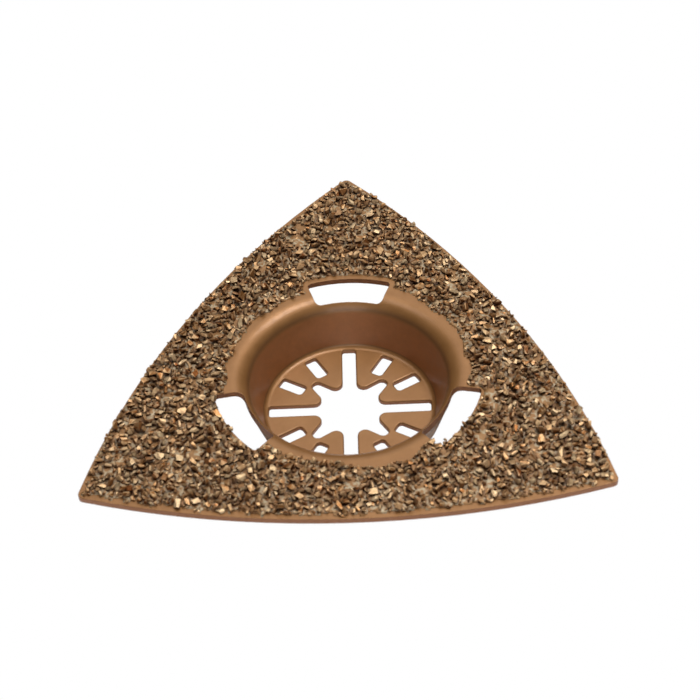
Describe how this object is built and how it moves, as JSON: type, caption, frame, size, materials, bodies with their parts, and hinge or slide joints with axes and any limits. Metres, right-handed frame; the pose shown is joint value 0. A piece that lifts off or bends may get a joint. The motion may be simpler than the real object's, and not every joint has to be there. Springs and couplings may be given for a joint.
{
  "type": "carbide grit rasp plate",
  "caption": "Triangular rasp plate with curved sides, a deep-drawn centre cup with a slotted star arbor pattern, cut-outs at the cup mouth and brazed angular grit on one face.",
  "frame": {"origin": "arbor axis in the clamp face, which is the flat underside of the cup floor", "axes": "+Z along the arbor axis, out of the grit face; +Y towards one corner of the triangle; +X completes the set"},
  "size_m": [0.0797, 0.0746, 0.0103],
  "materials": {
    "plate_lacquer": "satin bronze lacquer on pressed steel",
    "braze_lacquer": "rough braze under bronze lacquer",
    "grit": "crushed carbide under a thin bronze lacquer"
  },
  "bodies": {
    "root": {"backing_plate": "plate_lacquer", "braze_layer": "braze_lacquer", "grit_rear_corner": "grit", "grit_left_corner": "grit", "grit_right_corner": "grit", "grit_front_side": "grit", "grit_left_side": "grit", "grit_right_side": "grit"}
  },
  "joints": []
}
